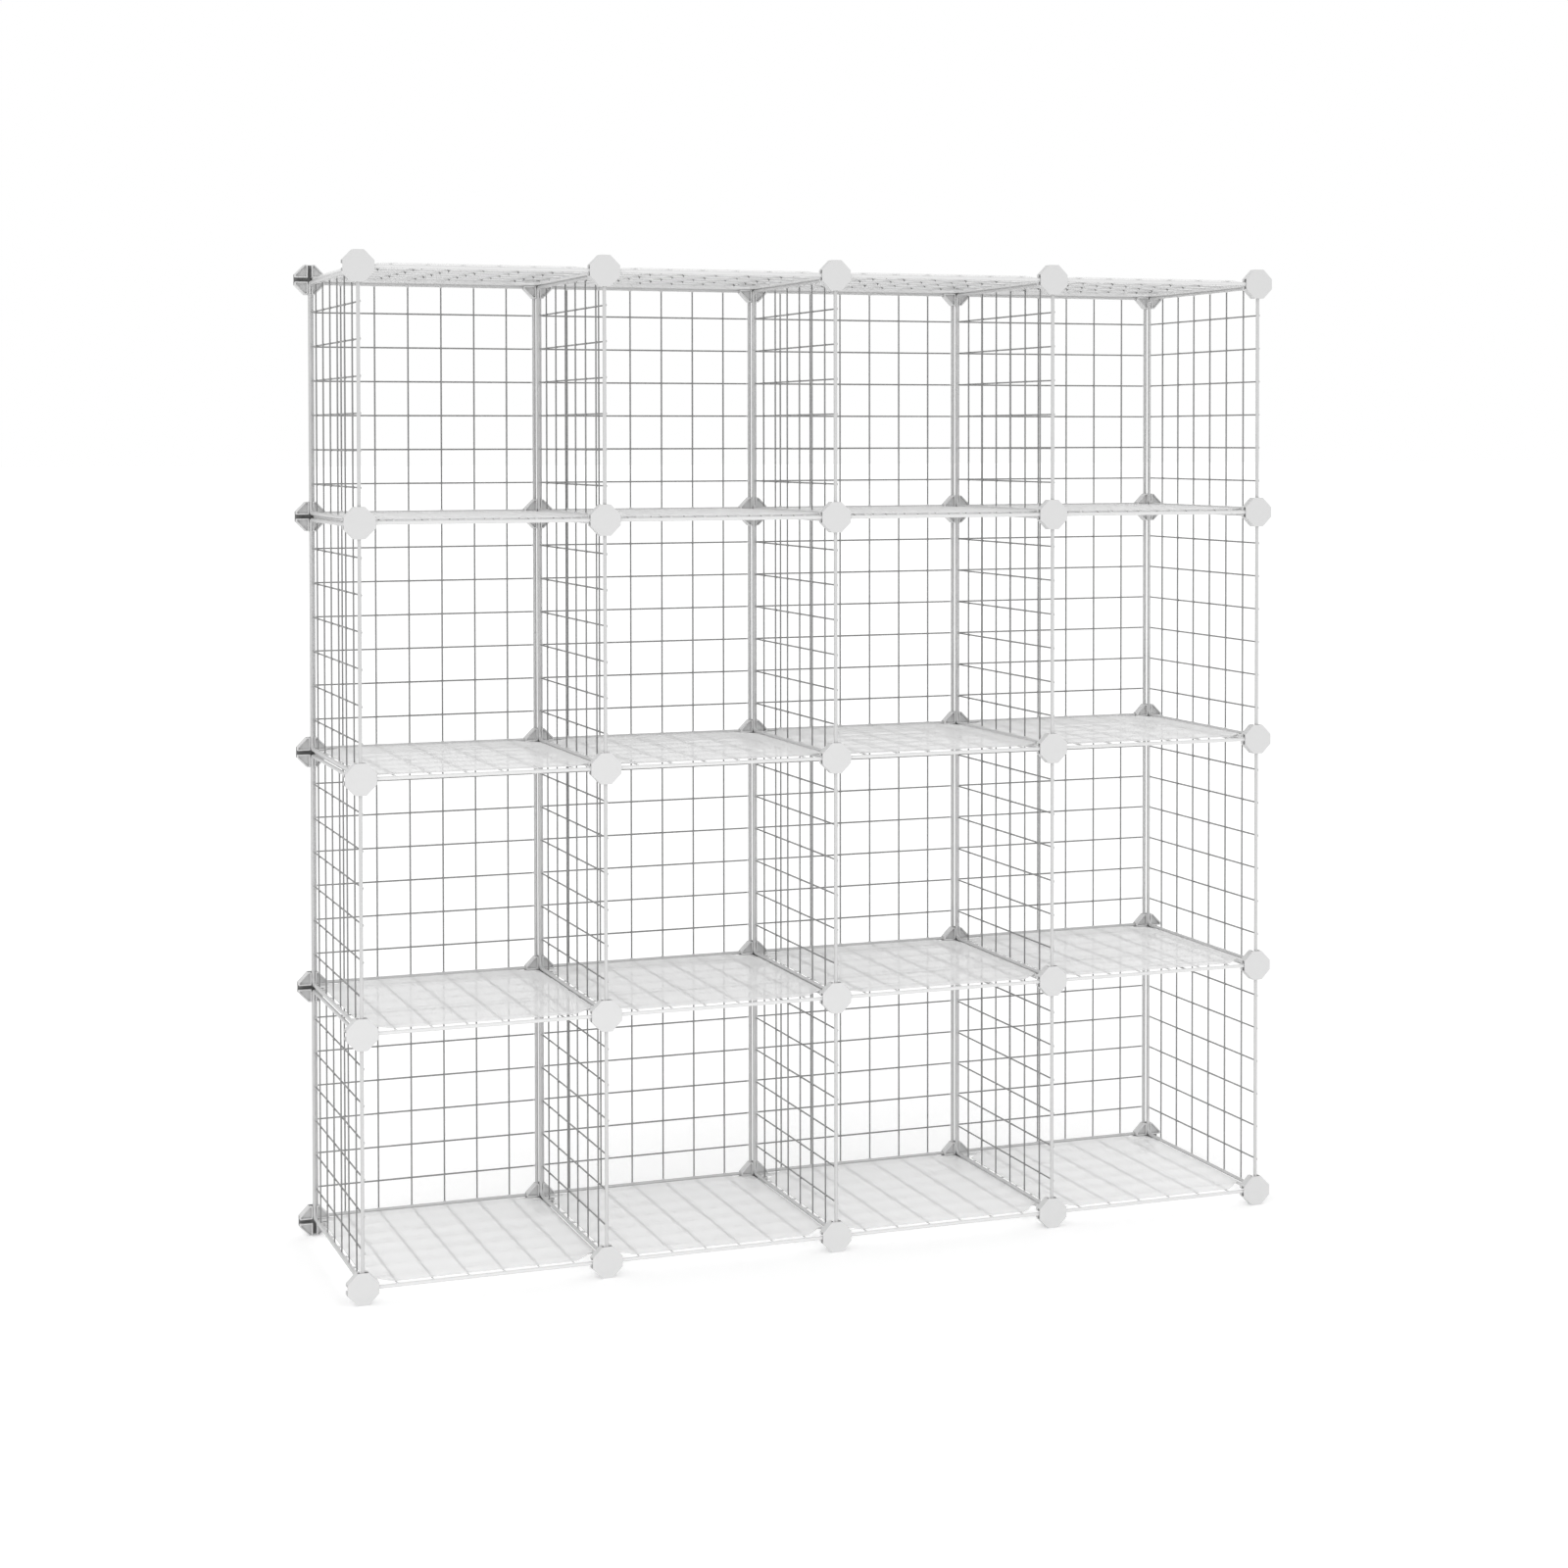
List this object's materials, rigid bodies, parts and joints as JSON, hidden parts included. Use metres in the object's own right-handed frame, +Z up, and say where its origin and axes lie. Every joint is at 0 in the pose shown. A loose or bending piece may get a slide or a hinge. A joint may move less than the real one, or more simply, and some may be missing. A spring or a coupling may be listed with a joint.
{
  "type": "cube storage unit",
  "caption": "Open-front modular cube shelving made of white welded wire grid panels, held by octagonal slotted plastic connectors, with translucent plastic sheets on the shelves.",
  "frame": {"origin": "on the floor, under the centre of the unit's width and depth", "axes": "+Z up, +Y towards the grid back, -Y out of the open front, +X to the right seen from the front"},
  "size_m": [1.238, 0.3064, 1.238],
  "materials": {
    "coated_wire": "satin white powder coat on steel wire",
    "connector_plastic": "satin white moulded plastic",
    "sheet_plastic": "translucent white plastic sheet"
  },
  "bodies": {
    "root": {"back_connectors": "connector_plastic", "back_panel_row_1_column_1": "coated_wire", "back_panel_row_1_column_2": "coated_wire", "back_panel_row_1_column_3": "coated_wire", "back_panel_row_1_column_4": "coated_wire", "back_panel_row_2_column_1": "coated_wire", "back_panel_row_2_column_2": "coated_wire", "back_panel_row_2_column_3": "coated_wire", "back_panel_row_2_column_4": "coated_wire", "back_panel_row_3_column_1": "coated_wire", "back_panel_row_3_column_2": "coated_wire", "back_panel_row_3_column_3": "coated_wire", "back_panel_row_3_column_4": "coated_wire", "back_panel_row_4_column_1": "coated_wire", "back_panel_row_4_column_2": "coated_wire", "back_panel_row_4_column_3": "coated_wire", "back_panel_row_4_column_4": "coated_wire", "base_panel_column_1": "coated_wire", "base_panel_column_2": "coated_wire", "base_panel_column_3": "coated_wire", "base_panel_column_4": "coated_wire", "divider_1_panel_row_1": "coated_wire", "divider_1_panel_row_2": "coated_wire", "divider_1_panel_row_3": "coated_wire", "divider_1_panel_row_4": "coated_wire", "divider_2_panel_row_1": "coated_wire", "divider_2_panel_row_2": "coated_wire", "divider_2_panel_row_3": "coated_wire", "divider_2_panel_row_4": "coated_wire", "divider_3_panel_row_1": "coated_wire", "divider_3_panel_row_2": "coated_wire", "divider_3_panel_row_3": "coated_wire", "divider_3_panel_row_4": "coated_wire", "front_connectors": "connector_plastic", "left_side_panel_row_1": "coated_wire", "left_side_panel_row_2": "coated_wire", "left_side_panel_row_3": "coated_wire", "left_side_panel_row_4": "coated_wire", "right_side_panel_row_1": "coated_wire", "right_side_panel_row_2": "coated_wire", "right_side_panel_row_3": "coated_wire", "right_side_panel_row_4": "coated_wire", "shelf_1_panel_column_1": "coated_wire", "shelf_1_panel_column_2": "coated_wire", "shelf_1_panel_column_3": "coated_wire", "shelf_1_panel_column_4": "coated_wire", "shelf_2_panel_column_1": "coated_wire", "shelf_2_panel_column_2": "coated_wire", "shelf_2_panel_column_3": "coated_wire", "shelf_2_panel_column_4": "coated_wire", "shelf_3_panel_column_1": "coated_wire", "shelf_3_panel_column_2": "coated_wire", "shelf_3_panel_column_3": "coated_wire", "shelf_3_panel_column_4": "coated_wire", "shelf_sheets": "sheet_plastic", "top_panel_column_1": "coated_wire", "top_panel_column_2": "coated_wire", "top_panel_column_3": "coated_wire", "top_panel_column_4": "coated_wire"}
  },
  "joints": []
}
